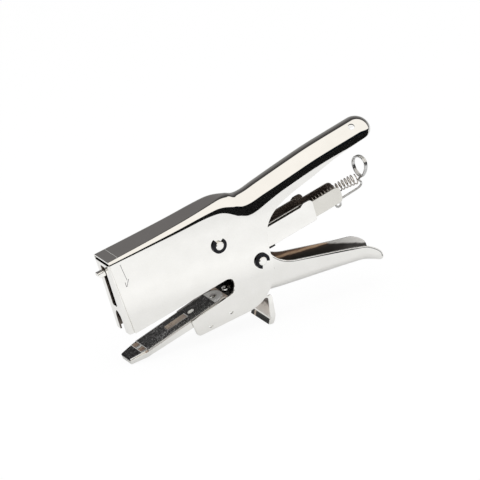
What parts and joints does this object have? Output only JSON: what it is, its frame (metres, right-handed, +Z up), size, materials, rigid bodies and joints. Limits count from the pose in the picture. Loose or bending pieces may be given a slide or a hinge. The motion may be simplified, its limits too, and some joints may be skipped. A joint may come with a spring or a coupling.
{
  "type": "plier stapler",
  "caption": "Hand stapling plier with a folded metal head and handle, squeezed lower handle, pivoting magazine, anvil arm and pull-out staple pusher.",
  "frame": {"origin": "middle of the bounding box at the table the tool stands on, with the pusher home and the handle open", "axes": "+X from the nose to the handles' ends, +Y square to the cheeks, +Z up from the table"},
  "size_m": [0.1988, 0.025, 0.1157],
  "materials": {
    "nickel": "bright nickel plate",
    "brushed": "dark brushed steel",
    "black": "black oxide",
    "spring": "bright drawn wire"
  },
  "bodies": {
    "frame": {"body_shell": "nickel", "front_guide": "nickel", "anvil_arm": "nickel", "clinch_plate": "brushed", "clinch_rivet": "nickel", "arm_screw": "nickel", "heel_foot": "nickel", "front_pin": "nickel", "rear_pin": "nickel", "front_clip": "black", "rear_clip": "black", "return_spring": "spring"},
    "lever": {"lower_handle": "nickel", "driver_lever": "nickel", "lever_pin": "spring", "lever_rivet_upper": "nickel", "lever_rivet_lower": "nickel"},
    "driver": {"driver_block": "nickel", "driver_blade": "black", "guide_tab": "nickel"},
    "magazine": {"magazine_housing": "nickel", "magazine_rail": "nickel", "rail_rivet_front": "nickel", "rail_rivet_rear": "nickel"},
    "loader": {"pull_hook": "nickel", "follower_spring": "spring"},
    "follower": {"follower": "nickel"}
  },
  "joints": [
    {"name": "handle_hinge", "type": "hinge", "parent": "frame", "child": "lever", "pos_m": [0.01026, 0, 0.04397], "axis": [0, -1, 0], "range_deg": [0, 15], "stiffness_Nm_per_rad": 3, "springref_deg": -8.59, "deforming": ["return_spring"]},
    {"name": "magazine_hinge", "type": "hinge", "parent": "frame", "child": "magazine", "pos_m": [0.01026, 0, 0.04397], "axis": [0, -1, 0], "range_deg": [0, 9.1]},
    {"name": "driver_slide", "type": "slide", "parent": "frame", "child": "driver", "axis": [0.1895, 0, -0.9819], "range_m": [0, 0.0231]},
    {"name": "loader_slide", "type": "slide", "parent": "magazine", "child": "loader", "axis": [0.9701, 0, 0.2428], "range_m": [0, 0.05]},
    {"name": "follower_slide", "type": "slide", "parent": "loader", "child": "follower", "axis": [0.9701, 0, 0.2428], "range_m": [0, 0.09], "stiffness_N_per_m": 40, "springref_m": -0.02, "deforming": ["follower_spring"]}
  ],
  "couplings": [
    {"joint": "magazine_hinge", "follows": "handle_hinge", "ratio": 0.6},
    {"joint": "driver_slide", "follows": "handle_hinge", "m_per_rad": 0.0875}
  ]
}
